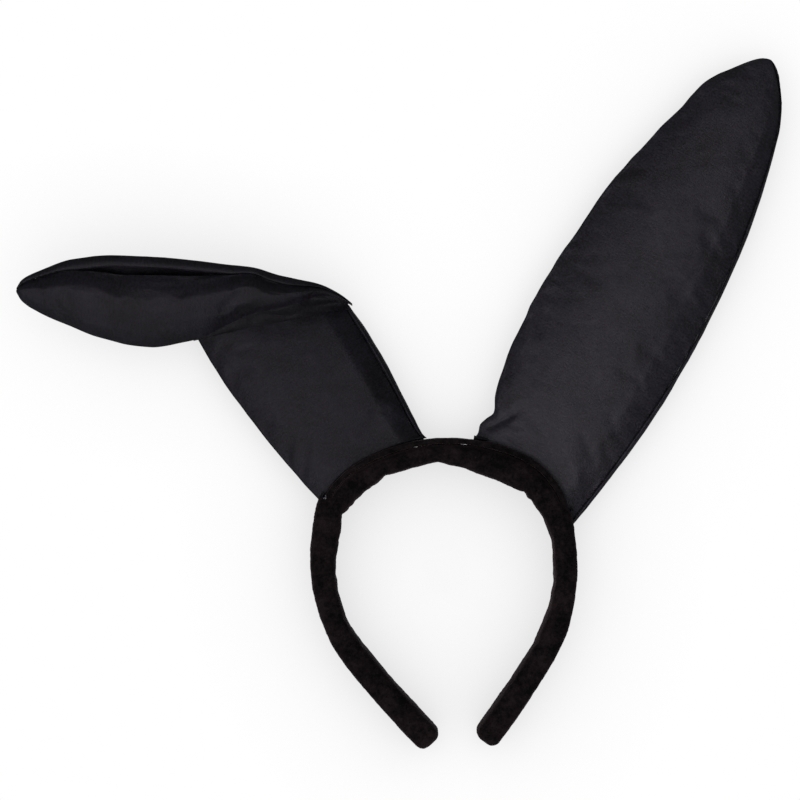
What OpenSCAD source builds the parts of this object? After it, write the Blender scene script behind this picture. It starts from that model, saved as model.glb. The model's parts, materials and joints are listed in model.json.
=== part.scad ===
// Headband with two tall padded rabbit ears, in millimetres.
// +Z points up when worn, -Y points forwards and the origin is the centre of the head opening.
// The right ear (+X) stands straight. The left ear (-X) is folded sideways over a pleat.

/* [Headband] */
// Height of the band's centreline above the origin at the crown
crown_z = 60.4; // [55:0.1:66]
// Thickness of the padded band, across the plane of the head
band_t = 12.6; // [11:0.1:15]
// Depth of the padded band, front to back
band_d = 24; // [20:0.5:30]
// Thickness of the stiff plastic core
core_t = 2.2; // [1.6:0.1:3]
// Depth of the stiff plastic core
core_d = 16; // [12:0.5:19]
// Thickness of the velvet cover
velvet_t = 1; // [0.6:0.1:1.4]
// Turn of the centreline from the crown to where the arms can flex, in degrees
arm_cut = 80; // [79:0.5:90]

/* [Ear strip] */
// Thickness of the satin strip that carries the ears
strip_t = 3; // [2:0.1:3.6]
// Depth of that strip, front to back
strip_d = 17; // [12:0.5:19]
// Height of the hem under each ear
hem_h = 2; // [1.5:0.1:2.5]
// Front to back thickness of the hem under each ear
hem_d = 5; // [4:0.5:6]

/* [Ears] */
// Length of an ear from its base to its tip
ear_len = 247; // [200:1:280]
// Greatest half width of an ear
ear_half = 42; // [34:0.5:46]
// Radius of the arcs that form the two sides of an ear
side_r = 444; // [380:2:520]
// Distance from the base to the widest place
widest_at = 89; // [70:1:110]
// Half of an ear's thickness at its fullest
puff = 5.6; // [4:0.1:6.2]
// Radius of the wire inside the rim of each ear
wire_r = 0.7; // [0.5:0.05:0.8]
// Distance of that wire from the edge
wire_in = 3.6; // [3.2:0.1:5]
// Height of the fold across the straight ear
fold_at = 95; // [80:1:120]

/* [Folded ear] */
// Width of the folded ear as a share of the straight one's
left_share = 0.93; // [0.88:0.01:1]
// Distance from the base to the inner corner of the fold
corner_at = 76; // [70:1:85]
// Distance from the base to the outer end of the fold
outer_at = 137; // [125:1:142]
// Length of the folded part from corner to tip
leaf_len = 170; // [150:1:180]
// Direction of the folded part, in degrees from +X towards +Z
leaf_dir = 174.3; // [165:0.1:180]
// How far the folded part rises above the line from its corner to its tip
leaf_rise = 18.6; // [14:0.1:22]
// How far the folded part hangs below that line
leaf_drop = 26.5; // [20:0.1:30]
// How far the folded part lies in front of the part below
leaf_front = 15.5; // [14:0.1:18]

/* [Hidden] */

// The centreline's four arcs on each side, from the crown down: radius and turn in degrees.
arc_r = [85, 38, 85, 488];
arc_turn = [27, 45, 53, 5.7];
// Turn of the centreline at the arms' ends, and of the ear strip's ends from the crown.
arm_end = 130.7;
strip_left = 60;
strip_right = 76;
// Room between nested layers, between the crown and an arm, over a hem and at a fold.
gap = 0.15;
joint_gap = 0.2;
clear_hem = 2.7;
fold_gap = 0.2;
// How far the core lies from the middle of the padding, towards the head where negative.
core_shift = -1.2;
// Thickness of a satin panel, and half the thickness of an ear at its rim.
panel_t = 0.5;
rim = 0.6;
// The wadding ends this far inside the wire.
clear_wire = 2.2;
// Steps of the ears' grids across and along, sides of a tube, and share of the length at the blunt tip.
across = 10;
along_base = 8;
along_tip = 14;
tube_sides = 6;
tip_stop = 0.995;

// Each ear: foot of its axis, lean from +Z towards +X, width share,
// bow of its lower edge over the band, and slope of that edge.
left_foot = [-35.25, 54];
left_lean = -28.8;
left_bow = 5.4;
left_slope = -0.073;
right_foot = [44, 43.6];
right_lean = 34.2;
right_bow = 9.8;
right_slope = -0.125;

satin = [0.07, 0.07, 0.08];
velvet = [0.03, 0.03, 0.035];
steel = [0.6, 0.6, 0.62];
white = [0.85, 0.85, 0.83];

// ---- headband ----

function turned(i) = i == 0 ? 0 : turned(i - 1) + arc_turn[i - 1];
function centre(i) = i == 0 ? [0, crown_z - arc_r[0]]
    : centre(i - 1) + (arc_r[i - 1] - arc_r[i]) * [sin(turned(i)), cos(turned(i))];

// A place by the centreline, at a turn from the crown (negative on the left side):
// out is away from the head, y is front to back and on is further along the line.
function beside(turn, out, y, on = 0) =
    let (h = abs(turn), i = h < turned(1) ? 0 : h < turned(2) ? 1 : h < turned(3) ? 2 : 3,
        p = centre(i) + (arc_r[i] + out) * [sin(h), cos(h)] + on * [cos(h), -sin(h)])
        [turn < 0 ? -p[0] : p[0], y, p[1]];

// Shared stations along the centreline, so that nested layers keep their gaps.
function stations(from, to) = concat([from],
    [for (h = [-124:4:124]) if (h > from && h < to) h],
    [for (h = [turned(3):2:arm_end]) if (h > from && h < to) h], [to]);

// A closed ring round the centreline: a rectangle t by d with rounded corners.
function ring(turn, t, d, r, shift = 0, on = 0, y = 0) =
    [for (q = [0:3], a = [0:45:90])
        let (sx = q == 0 || q == 3 ? 1 : -1, sy = q < 2 ? 1 : -1)
            beside(turn, shift + sx * (t / 2 - r) + r * cos(90 * q + a),
                y + sy * (d / 2 - r) + r * sin(90 * q + a), on)];

function flat(rows) = [for (row = rows, p = row) p];

function wall(n, m, first, inward) = flat([for (i = [0:n - 2], k = [0:m - 1])
    let (a = first + i * m + k, b = first + i * m + (k + 1) % m, c = a + m, d = b + m)
        inward ? [[a, d, b], [a, c, d]] : [[a, b, d], [a, d, c]]]);

// A solid swept through rings.
module skin(rings) {
    n = len(rings);
    m = len(rings[0]);
    last = (n - 1) * m;
    polyhedron(points = flat(rings), faces = concat(wall(n, m, 0, false),
        [for (k = [1:m - 2]) [0, k + 1, k]], [for (k = [1:m - 2]) [last, last + k, last + k + 1]]));
}

// A sleeve between outer rings and inner rings.
module sleeve(outer, inner) {
    n = len(outer);
    m = len(outer[0]);
    f = n * m;
    last = f - m;
    polyhedron(points = concat(flat(outer), flat(inner)), faces = concat(
        wall(n, m, 0, false), wall(n, m, f, true),
        flat([for (k = [0:m - 1]) let (j = (k + 1) % m) [[k, f + k, f + j], [k, f + j, j]]]),
        flat([for (k = [0:m - 1]) let (j = (k + 1) % m)
            [[last + k, last + j, f + last + j], [last + k, f + last + j, f + last + k]]])));
}

// How much thinner the padding is under the ear strip.
function under_strip(turn) = turn > -strip_left - 1 && turn < strip_right + 1 ? strip_t + gap : 0;

module core_part(from, to) color(white)
    skin([for (h = stations(from, to)) ring(h, core_t, core_d, 0.3, core_shift)]);

module foam_part(from, to) color("dimgray")
    sleeve([for (h = stations(from, to)) let (cut = under_strip(h))
            ring(h, band_t - cut - 2 * velvet_t - 2 * gap, band_d - 2 * velvet_t - 2 * gap, 2.2, -cut / 2)],
        [for (h = stations(from, to)) ring(h, core_t + 2 * gap, core_d + 2 * gap, 0.3, core_shift)]);

module cover_part(from, to) color(velvet)
    sleeve([for (h = stations(from, to)) let (cut = under_strip(h))
            ring(h, band_t - cut, band_d, 3.4, -cut / 2)],
        [for (h = stations(from, to)) let (cut = under_strip(h))
            ring(h, band_t - cut - 2 * velvet_t, band_d - 2 * velvet_t, 2.4, -cut / 2)]);

module core_crown() core_part(-arm_cut, arm_cut);
module foam_crown() foam_part(-arm_cut, arm_cut);
module velvet_crown() cover_part(-arm_cut, arm_cut);

module ear_strip() color(satin)
    skin([for (h = stations(-strip_left, strip_right))
        ring(h, strip_t, strip_d, 1.2, (band_t - strip_t) / 2)]);

// Short stitches that tack the strip's front edge to the band.
module strip_stitches() color("dimgray")
    for (h = [8 - strip_left:12:strip_right - 8])
        skin([for (a = [h, h + 2.4])
            ring(a, 0.8, 0.8, 0.39, (band_t - strip_t) / 2 + 0.5, 0, -strip_d / 2 - gap - 0.4)]);

module hem(from, to) color(satin)
    skin([for (h = stations(from, to)) ring(h, hem_h, hem_d, 0.9, band_t / 2 + gap + hem_h / 2)]);

module left_hem() hem(-strip_left, -4);
module right_hem() hem(12, strip_right);

arm_start = arm_cut + joint_gap;
module mirrored() mirror([1, 0, 0]) children();

// Velvet turned in over the blunt end of an arm.
module end_cap() color(velvet)
    skin([for (on = [0.1, 1.4, 2.6, 3.4]) let (inset = 3 * (1 - sqrt(1 - pow(on / 3.8, 2))))
        ring(arm_end, band_t - 2 * inset, band_d - 2 * inset, 3.4 - inset / 2, 0, on)]);

module core_arm_right() core_part(arm_start, arm_end);
module foam_arm_right() foam_part(arm_start, arm_end);
module velvet_arm_right() cover_part(arm_start, arm_end);
module end_cap_right() end_cap();
module core_arm_left() mirrored() core_arm_right();
module foam_arm_left() mirrored() foam_arm_right();
module velvet_arm_left() mirrored() velvet_arm_right();
module end_cap_left() mirrored() end_cap_right();

// ---- shapes through grids and paths of points ----

// A closed slab between a front grid of points and a back grid of the same size.
module slab(front, back) {
    n = len(front);
    m = len(front[0]);
    f = n * m;
    function v(side, i, j) = side * f + i * m + j;
    function quad(a, b, c, d) = [[a, b, c], [a, c, d]];
    faces = flat(concat(
        [for (i = [0:n - 2], j = [0:m - 2])
            quad(v(0, i, j), v(0, i + 1, j), v(0, i + 1, j + 1), v(0, i, j + 1))],
        [for (i = [0:n - 2], j = [0:m - 2])
            quad(v(1, i, j), v(1, i, j + 1), v(1, i + 1, j + 1), v(1, i + 1, j))],
        [for (i = [0:n - 2]) quad(v(0, i, 0), v(1, i, 0), v(1, i + 1, 0), v(0, i + 1, 0))],
        [for (i = [0:n - 2])
            quad(v(0, i, m - 1), v(0, i + 1, m - 1), v(1, i + 1, m - 1), v(1, i, m - 1))],
        [for (j = [0:m - 2]) quad(v(0, 0, j), v(0, 0, j + 1), v(1, 0, j + 1), v(1, 0, j))],
        [for (j = [0:m - 2])
            quad(v(0, n - 1, j), v(1, n - 1, j), v(1, n - 1, j + 1), v(0, n - 1, j + 1))]));
    polyhedron(points = concat(flat(front), flat(back)), faces = faces);
}

function unit(v) = v / norm(v);

// A round tube along a path that lies nearly square to Y.
module tube(path, r) {
    n = len(path);
    function way(i) = unit(path[min(i + 1, n - 1)] - path[max(i - 1, 0)]);
    function side(i) = unit(cross(way(i), [0, 1, 0]));
    skin([for (i = [0:n - 1]) [for (k = [0:tube_sides - 1])
        let (a = -360 * k / tube_sides, w = cross(side(i), way(i)))
            path[i] + r * (cos(a) * side(i) + sin(a) * w)]]);
}

// ---- ears ----

function mix(a, b, t) = a + (b - a) * t;

// Half width of an ear at a distance from its base: two arcs, rounded off at the tip.
round_from = 0.88 * ear_len;
function rounding(s) = let (q = max(0, (s - round_from) / (ear_len - round_from))) sqrt(max(0, 1 - q * q));
function arc_width(s) = ear_half - side_r + sqrt(pow(side_r, 2) - pow(s - widest_at, 2));
function half_width(s) = arc_width(s) * rounding(s);

// Half thickness at a distance from the base, and across the width (x is -1 to 1).
function fullness(s) = let (rise = min(1, s / 60), q = max(0, (s - 0.7 * ear_len) / (0.3 * ear_len)))
    puff * mix(0.5, 1, rise * (2 - rise)) * sqrt(max(0.06, 1 - q * q));
function crowned(x) = pow(max(0, 1 - x * x), 0.6);

// A place on an ear: u across, s along its axis, y front to back.
function on_ear(foot, lean, u, s, y) =
    [foot[0] + s * sin(lean) + u * cos(lean), y, foot[1] + s * cos(lean) - u * sin(lean)];

// The height of the ear's lower edge over the band.
function lower_edge(x, share, bow, slope) =
    slope * x * half_width(0) * share + bow * (1 - x * x) + hem_h + clear_hem;

// Grid over the lower part of an ear, inset from its sides.
function ear_grid(foot, lean, share, bow, slope, tops, layer) =
    [for (i = [0:along_base]) [for (j = [0:across])
        let (e = mix(-1, 1, j / across),
            low = lower_edge(e, share, bow, slope),
            high = mix(tops[0], tops[1], (e + 1) / 2),
            s = mix(low, high, i / along_base),
            half = half_width(s) * share,
            u = e * (half - layer_inset(layer)))
            on_ear(foot, lean, u, s, depth_at(layer, crowned(u / half) * fullness(s)))]];

// Layers from the front: 0 front face, 1 its lining, 2 and 3 wadding, 4 back lining, 5 back face.
function depth_at(layer, h) =
    layer == 0 ? -h - rim : layer == 1 ? -h * 0.96 - rim + panel_t : layer == 2 ? -h * 0.88 + 0.1
    : layer == 3 ? h * 0.88 - 0.1 : layer == 4 ? h * 0.96 + rim - panel_t : h + rim;

function layer_inset(layer) = layer == 2 || layer == 3 ? wire_in + clear_wire : 0;

module base_layer(left, a, b) {
    foot = left ? left_foot : right_foot;
    lean = left ? left_lean : right_lean;
    share = left ? left_share : 1;
    bow = left ? left_bow : right_bow;
    slope = left ? left_slope : right_slope;
    tops = left ? [outer_at, corner_at] : [fold_at - fold_gap, fold_at - fold_gap];
    slab(ear_grid(foot, lean, share, bow, slope, tops, a),
        ear_grid(foot, lean, share, bow, slope, tops, b));
}

// A line up one side of an ear, inset from its edge.
function side_path(foot, lean, share, side, inset, from, to, steps) =
    [for (i = [0:steps]) let (s = mix(from, to, i / steps))
        on_ear(foot, lean, side * (half_width(s) * share - inset), s, 0)];

// The seam and the wire run up both sides, from just over the hem to the fold.
module base_sides(left, inset, r) {
    foot = left ? left_foot : right_foot;
    lean = left ? left_lean : right_lean;
    share = left ? left_share : 1;
    slope = left ? left_slope : right_slope;
    tops = left ? [outer_at, corner_at] : [fold_at - fold_gap, fold_at - fold_gap];
    for (side = [-1, 1]) {
        low = lower_edge(side, share, 0, slope) + 3;
        high = tops[(side + 1) / 2] - 1.5;
        tube(side_path(foot, lean, share, side, inset, low, high, 10), r);
    }
}

module left_base_front() color(satin) base_layer(true, 0, 1);
module left_base_back() color(satin) base_layer(true, 4, 5);
module left_base_wadding() color(white) base_layer(true, 2, 3);
module left_base_wire() color(steel) base_sides(true, wire_in, wire_r);
module left_base_seam() color(satin) base_sides(true, -rim - gap, rim);
module right_base_front() color(satin) base_layer(false, 0, 1);
module right_base_back() color(satin) base_layer(false, 4, 5);
module right_base_wadding() color(white) base_layer(false, 2, 3);
module right_base_wire() color(steel) base_sides(false, wire_in, wire_r);
module right_base_seam() color(satin) base_sides(false, -rim - gap, rim);

// The straight ear above its fold.
function right_tip_grid(layer) =
    [for (i = [0:along_tip]) [for (j = [0:across])
        let (inset = layer_inset(layer),
            top = ear_len * tip_stop - 2.2 * inset,
            s = mix(fold_at, top, sin(90 * i / along_tip)),
            half = half_width(s),
            u = mix(-1, 1, j / across) * (half - inset))
            on_ear(right_foot, right_lean, u, s, depth_at(layer, crowned(u / half) * fullness(s)))]];

// Up the right side, round the tip and down the left side, inset from the edge.
function tip_round(inset, from) = concat(
    side_path(right_foot, right_lean, 1, 1, inset, from, round_from, 10),
    [for (a = [15:15:165]) let (s = round_from + (ear_len - round_from - inset) * sin(a))
        on_ear(right_foot, right_lean, cos(a) * (arc_width(s) - inset), s, 0)],
    side_path(right_foot, right_lean, 1, -1, inset, round_from, from, 10));

module right_tip_front() color(satin) slab(right_tip_grid(0), right_tip_grid(1));
module right_tip_back() color(satin) slab(right_tip_grid(4), right_tip_grid(5));
module right_tip_wadding() color(white) slab(right_tip_grid(2), right_tip_grid(3));
module right_tip_wire() color(steel) tube(tip_round(wire_in, fold_at + 1.5), wire_r);
module right_tip_seam() color(satin) tube(tip_round(-rim - gap, fold_at + 1.5), rim);

// The folded part of the left ear: a leaf that lies in front of the part below.
corner = on_ear(left_foot, left_lean, half_width(corner_at) * left_share, corner_at, 0);
function on_leaf(p, v, y) =
    corner + [p * cos(leaf_dir) + v * sin(leaf_dir), y, p * sin(leaf_dir) - v * cos(leaf_dir)];
function upper_edge(t) = let (q = pow(t, 1.61), w = 1 - pow(2 * q - 1, 2))
    leaf_rise * pow(max(0, w), q < 0.5 ? 0.3 : 0.5);
lowest = 0.6;
function under_edge(t) = -leaf_drop * (t < lowest ? pow(t / lowest, 0.9)
    : pow(max(0, 1 - pow((t - lowest) / (1 - lowest), 1.3)), 0.65));
function leaf_mid(t) = -leaf_front * min(1, 0.75 + t);
function leaf_full(t) = puff * sqrt(max(0.05, 1 - pow(2 * t - 1, 4)));
leaf_from = 0.05;

function leaf_grid(layer) =
    [for (i = [0:along_tip]) [for (j = [0:across])
        let (inset = layer_inset(layer),
            t = mix(leaf_from + inset * 0.02, tip_stop - inset * 0.024, (1 - cos(180 * i / along_tip)) / 2),
            low = under_edge(t),
            high = upper_edge(t),
            v = mix(low + inset, high - inset, j / across),
            x = 2 * (v - low) / (high - low) - 1)
            on_leaf(t * leaf_len, v, leaf_mid(t) + depth_at(layer, crowned(x) * leaf_full(t)))]];

module left_tip_front() color(satin) slab(leaf_grid(0), leaf_grid(1));
module left_tip_back() color(satin) slab(leaf_grid(4), leaf_grid(5));
module left_tip_wadding() color(white) slab(leaf_grid(2), leaf_grid(3));

// Round the leaf from the corner along the upper edge, over the tip and back below.
function leaf_side(inset, from, to, upper) =
    [for (i = [0:16]) let (t = mix(from, to, i / 16), p = t * leaf_len - inset * (2 * t - 1))
        on_leaf(p, upper ? upper_edge(t) - inset : under_edge(t) + inset, leaf_mid(t))];
function leaf_round(inset, from, to) = concat(
    leaf_side(inset, from, to, true),
    [on_leaf(leaf_len - inset, 0, leaf_mid(1))],
    leaf_side(inset, to, from, false));

module left_tip_wire() color(steel) tube(leaf_round(wire_in, 0.16, 0.955), wire_r);
module left_tip_seam() color(satin) tube(leaf_round(-rim - gap, 0.06, 0.985), rim);

// The pleat: satin doubled back between the part below and the leaf.
pleat_y = -puff - rim - 1.4;
module left_pleat() {
    shoulder = on_ear(left_foot, left_lean, -half_width(outer_at) * left_share + 8, outer_at - 8, 0);
    hang = on_leaf(lowest * leaf_len - 8, under_edge(lowest) + 8, 0);
    start = on_leaf(12, -4, 0);
    function row(y) = [for (q = [start, shoulder, hang]) [q[0], y, q[2]]];
    front = row(pleat_y - 0.4);
    back = row(pleat_y + 0.4);
    color(satin) polyhedron(points = concat(front, back), faces = [[0, 1, 2], [5, 4, 3],
        [0, 3, 4], [0, 4, 1], [1, 4, 5], [1, 5, 2], [2, 5, 3], [2, 3, 0]]);
}

core_crown();
foam_crown();
velvet_crown();
ear_strip();
strip_stitches();
left_hem();
right_hem();
core_arm_left();
foam_arm_left();
velvet_arm_left();
end_cap_left();
core_arm_right();
foam_arm_right();
velvet_arm_right();
end_cap_right();
left_base_front();
left_base_back();
left_base_wadding();
left_base_wire();
left_base_seam();
left_pleat();
left_tip_front();
left_tip_back();
left_tip_wadding();
left_tip_wire();
left_tip_seam();
right_base_front();
right_base_back();
right_base_wadding();
right_base_wire();
right_base_seam();
right_tip_front();
right_tip_back();
right_tip_wadding();
right_tip_wire();
right_tip_seam();
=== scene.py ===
"""Looks of the animal ears headband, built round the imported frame.

Shapes are worked out in millimetres and written to meshes in metres. +Z is up as worn,
-Y is the front, and the origin is the centre of the head opening. The right ear, at +X,
stands straight; the left one is folded over at a corner, and the folded part is its leaf.
"""
import json
import math

import bpy
import numpy as np
from mathutils import Matrix, Vector


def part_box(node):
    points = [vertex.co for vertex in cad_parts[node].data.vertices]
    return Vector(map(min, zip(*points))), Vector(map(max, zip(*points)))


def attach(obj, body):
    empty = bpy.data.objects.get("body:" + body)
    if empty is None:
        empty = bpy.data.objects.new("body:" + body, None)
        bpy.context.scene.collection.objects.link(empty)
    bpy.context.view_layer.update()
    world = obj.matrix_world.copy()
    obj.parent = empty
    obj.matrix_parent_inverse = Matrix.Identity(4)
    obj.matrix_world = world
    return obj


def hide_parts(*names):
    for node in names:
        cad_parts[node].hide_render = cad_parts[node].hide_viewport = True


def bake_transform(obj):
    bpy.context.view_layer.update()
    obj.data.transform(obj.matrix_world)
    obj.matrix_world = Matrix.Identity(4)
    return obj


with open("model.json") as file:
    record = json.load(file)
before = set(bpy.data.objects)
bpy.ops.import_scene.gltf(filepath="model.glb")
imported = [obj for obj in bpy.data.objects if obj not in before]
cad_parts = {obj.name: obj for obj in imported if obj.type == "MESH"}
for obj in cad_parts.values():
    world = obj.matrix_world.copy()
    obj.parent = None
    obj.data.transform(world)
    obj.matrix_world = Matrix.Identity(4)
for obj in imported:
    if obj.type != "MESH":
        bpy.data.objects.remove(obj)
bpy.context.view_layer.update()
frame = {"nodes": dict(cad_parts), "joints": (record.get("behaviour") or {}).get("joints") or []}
JOINTS = {j["name"]: j for j in frame["joints"]}
MM = 0.001


def hinge(name):
    """A hinge's place in millimetres and its unit axis."""
    axis = np.array(JOINTS[name]["axis"], float)
    return np.array(JOINTS[name]["pos_m"], float) / MM, axis / np.linalg.norm(axis)


# ---------------------------------------------------------------- camera, stage and lights

VIEW_CENTRE = Vector((-0.0171, 0.0, 0.0874))
VIEW_WIDTH = 0.408
VIEW_DISTANCE = 1.6
VIEW_ROLL = math.radians(3.9)
SENSOR = 36.0


def make_camera():
    data = bpy.data.cameras.new("camera")
    data.sensor_width = SENSOR
    data.lens = SENSOR * VIEW_DISTANCE / VIEW_WIDTH
    camera = bpy.data.objects.new("camera", data)
    right = Vector((math.cos(VIEW_ROLL), 0, -math.sin(VIEW_ROLL)))
    up = Vector((math.sin(VIEW_ROLL), 0, math.cos(VIEW_ROLL)))
    back = right.cross(up)
    place = Matrix((right, up, back)).transposed().to_4x4()
    place.translation = VIEW_CENTRE + back * VIEW_DISTANCE
    camera.matrix_world = place
    bpy.context.scene.collection.objects.link(camera)
    bpy.context.scene.camera = camera


def area_light(name, place, target, size, energy, colour=(1, 1, 1)):
    data = bpy.data.lights.new(name, "AREA")
    data.shape = "DISK"
    data.size = size
    data.energy = energy
    data.color = colour
    light = bpy.data.objects.new(name, data)
    light.location = place
    light.rotation_euler = (Vector(target) - Vector(place)).to_track_quat("-Z", "Y").to_euler()
    bpy.context.scene.collection.objects.link(light)
    return light


def make_world():
    world = bpy.data.worlds.new("world")
    bpy.context.scene.world = world
    world.use_nodes = True
    nodes, links = world.node_tree.nodes, world.node_tree.links
    seen = nodes["Background"]
    seen.inputs["Color"].default_value = (1, 1, 1, 1)
    seen.inputs["Strength"].default_value = 1.0
    lit = nodes.new("ShaderNodeBackground")
    lit.inputs["Color"].default_value = (0.95, 0.96, 1.0, 1)
    lit.inputs["Strength"].default_value = 0.16
    path = nodes.new("ShaderNodeLightPath")
    mix = nodes.new("ShaderNodeMixShader")
    links.new(path.outputs["Is Camera Ray"], mix.inputs["Fac"])
    links.new(lit.outputs["Background"], mix.inputs[1])
    links.new(seen.outputs["Background"], mix.inputs[2])
    links.new(mix.outputs["Shader"], nodes["World Output"].inputs["Surface"])


TABLE_GAP = 0.002
TABLE_REACH = 3.0
SHADE_REACH = 0.07
SHADE_DARKEST = 0.60


def make_stage():
    """The pale table behind: clear, and darkened only close to the headband by a painted contact shadow, so
    that it hides nothing.
    """
    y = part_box("velvet_crown")[1].y + TABLE_GAP
    mesh = bpy.data.meshes.new("table")
    mesh.from_pydata([(x * TABLE_REACH, y, z * TABLE_REACH) for x, z in ((-1, -1), (1, -1), (1, 1), (-1, 1))],
                     [], [(0, 1, 2, 3)])
    mesh.materials.append(table_shade())
    table = bpy.data.objects.new("table", mesh)
    bpy.context.scene.collection.objects.link(table)


def table_shade():
    """Clear, but tinted by nearness where the camera sees the table's front: a painted contact shadow."""
    material = bpy.data.materials.new("table_shade")
    material.use_nodes = True
    nodes, links = material.node_tree.nodes, material.node_tree.links
    near = nodes.new("ShaderNodeAmbientOcclusion")
    near.samples = 24
    near.inputs["Distance"].default_value = SHADE_REACH
    shade = nodes.new("ShaderNodeMapRange")
    shade.inputs["To Min"].default_value = SHADE_DARKEST
    links.new(near.outputs["AO"], shade.inputs["Value"])
    front = nodes.new("ShaderNodeMath")
    front.operation = "SUBTRACT"
    front.use_clamp = True
    links.new(nodes.new("ShaderNodeLightPath").outputs["Is Camera Ray"], front.inputs[0])
    links.new(nodes.new("ShaderNodeNewGeometry").outputs["Backfacing"], front.inputs[1])
    tint = nodes.new("ShaderNodeMix")
    tint.data_type = "RGBA"
    factor, clear, darkened = (tint.inputs[i] for i in (0, 6, 7))
    clear.default_value = (1, 1, 1, 1)
    links.new(front.outputs["Value"], factor)
    links.new(shade.outputs["Result"], darkened)
    see_through = nodes.new("ShaderNodeBsdfTransparent")
    links.new(tint.outputs[2], see_through.inputs["Color"])
    links.new(see_through.outputs["BSDF"], nodes["Material Output"].inputs["Surface"])
    return material


make_camera()
make_world()
make_stage()
bpy.context.scene.view_settings.view_transform = "Standard"
AIM = (-0.02, 0.0, 0.08)
area_light("softbox_front", (-0.62, -2.6, -0.56), AIM, 1.7, 26.5, (1.0, 0.975, 1.0))
area_light("softbox_low", (-1.1, -1.2, -2.0), AIM, 1.0, 11.0, (0.98, 0.97, 1.0))
area_light("softbox_right", (1.3, -2.0, 1.3), AIM, 1.2, 0.7, (0.97, 0.96, 1.0))
area_light("softbox_behind", (0.5, 2.4, 0.9), AIM, 1.6, 9.0)


# ---------------------------------------------------------------- small maths

def lattice_noise(points, size, seed):
    """Smooth noise from -1 to 1 at points, with bumps about size across."""
    cells = 32
    table = np.random.default_rng(seed).uniform(-1, 1, (cells, cells, cells))
    q = np.asarray(points, float) / size
    base = np.floor(q).astype(int)
    f = q - base
    f = f * f * (3 - 2 * f)
    total = 0.0
    for corner in range(8):
        step = np.array([corner & 1, corner >> 1 & 1, corner >> 2 & 1])
        index = (base + step) % cells
        weight = np.prod(np.where(step, f, 1 - f), axis=-1)
        total = total + weight * table[index[..., 0], index[..., 1], index[..., 2]]
    return total


def smooth(x, low, high):
    """0 below low, 1 above high and smooth between."""
    t = np.clip((np.asarray(x, float) - low) / (high - low), 0, 1)
    return t * t * (3 - 2 * t)


def bump(x, centre, width):
    return np.exp(-((np.asarray(x, float) - centre) / width) ** 2)


# ---------------------------------------------------------------- meshes from grids

def link_mesh(name, points, faces, cloth=None):
    mesh = bpy.data.meshes.new(name)
    mesh.from_pydata((np.asarray(points) * MM).tolist(), [], faces)
    mesh.validate()
    if cloth is not None:
        attribute = mesh.attributes.new("cloth", "FLOAT_VECTOR", "POINT")
        attribute.data.foreach_set("vector", np.asarray(cloth, np.float32).ravel())
    mesh.shade_smooth()
    obj = bpy.data.objects.new(name, mesh)
    bpy.context.scene.collection.objects.link(obj)
    return obj


def grid_normals(grid):
    """Normals of a grid whose rows are closed rings."""
    along = np.gradient(grid, axis=0)
    around = (np.roll(grid, -1, axis=1) - np.roll(grid, 1, axis=1)) / 2
    normal = np.cross(around, along)
    length = np.linalg.norm(normal, axis=2, keepdims=True)
    return normal / np.maximum(length, 1e-9)


def tube_faces(rows, cols, cap_first, cap_last):
    faces = []
    for i in range(rows - 1):
        for j in range(cols):
            k = (j + 1) % cols
            faces.append((i * cols + j, i * cols + k, (i + 1) * cols + k, (i + 1) * cols + j))
    if cap_first:
        faces.append(tuple(reversed(range(cols))))
    if cap_last:
        faces.append(tuple(range((rows - 1) * cols, rows * cols)))
    return faces


def skin(name, grid, cloth=None, cap_first=False, cap_last=False, normals=None):
    """A mesh from rings of points, with shared normals where it meets its neighbour."""
    rows, cols = grid.shape[:2]
    flat_cloth = None if cloth is None else cloth.reshape(-1, 3)
    obj = link_mesh(name, grid.reshape(-1, 3), tube_faces(rows, cols, cap_first, cap_last), flat_cloth)
    if normals is not None:
        obj.data.normals_split_custom_set_from_vertices(normals.reshape(-1, 3).tolist())
    return obj


def tube(name, path, radius, sides=10):
    """A closed round tube along a path, with the radius given once or for each point."""
    path = np.asarray(path, float)
    radius = np.broadcast_to(np.asarray(radius, float), (len(path),))
    way = np.gradient(path, axis=0)
    way /= np.linalg.norm(way, axis=1, keepdims=True)
    side = np.cross(way, np.array([0.0, 1.0, 0.0]))
    side /= np.maximum(np.linalg.norm(side, axis=1, keepdims=True), 1e-9)
    other = np.cross(side, way)
    turn = np.linspace(0, 2 * math.pi, sides, endpoint=False)
    ring = side[:, None] * np.cos(turn)[None, :, None] - other[:, None] * np.sin(turn)[None, :, None]
    grid = path[:, None] + ring * radius[:, None, None]
    return skin(name, grid, cap_first=True, cap_last=True)


def joined(name, objects):
    """Several meshes made into one piece."""
    bpy.ops.object.select_all(action="DESELECT")
    for o in objects:
        o.select_set(True)
    bpy.context.view_layer.objects.active = objects[0]
    bpy.ops.object.join()
    objects[0].name = name
    objects[0].data.name = name
    return objects[0]


# ---------------------------------------------------------------- materials

def new_material(name):
    material = bpy.data.materials.new(name)
    material.use_nodes = True
    return material, material.node_tree, material.node_tree.nodes["Principled BSDF"]


def node(tree, kind, **values):
    made = tree.nodes.new("ShaderNode" + kind)
    for key, value in values.items():
        if key in made.inputs:
            made.inputs[key].default_value = value
        else:
            setattr(made, key, value)
    return made


def coordinates(tree, attribute):
    if attribute:
        return node(tree, "Attribute", attribute_name=attribute).outputs["Vector"]
    return node(tree, "TexCoord").outputs["Object"]


def noise(tree, vector, scale, detail=3.0, roughness=0.6, stretch=None):
    if stretch:
        mapping = node(tree, "Mapping", Scale=stretch)
        tree.links.new(vector, mapping.inputs["Vector"])
        vector = mapping.outputs["Vector"]
    made = node(tree, "TexNoise", Scale=scale, Detail=detail, Roughness=roughness)
    tree.links.new(vector, made.inputs["Vector"])
    return made.outputs["Fac"]


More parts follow.
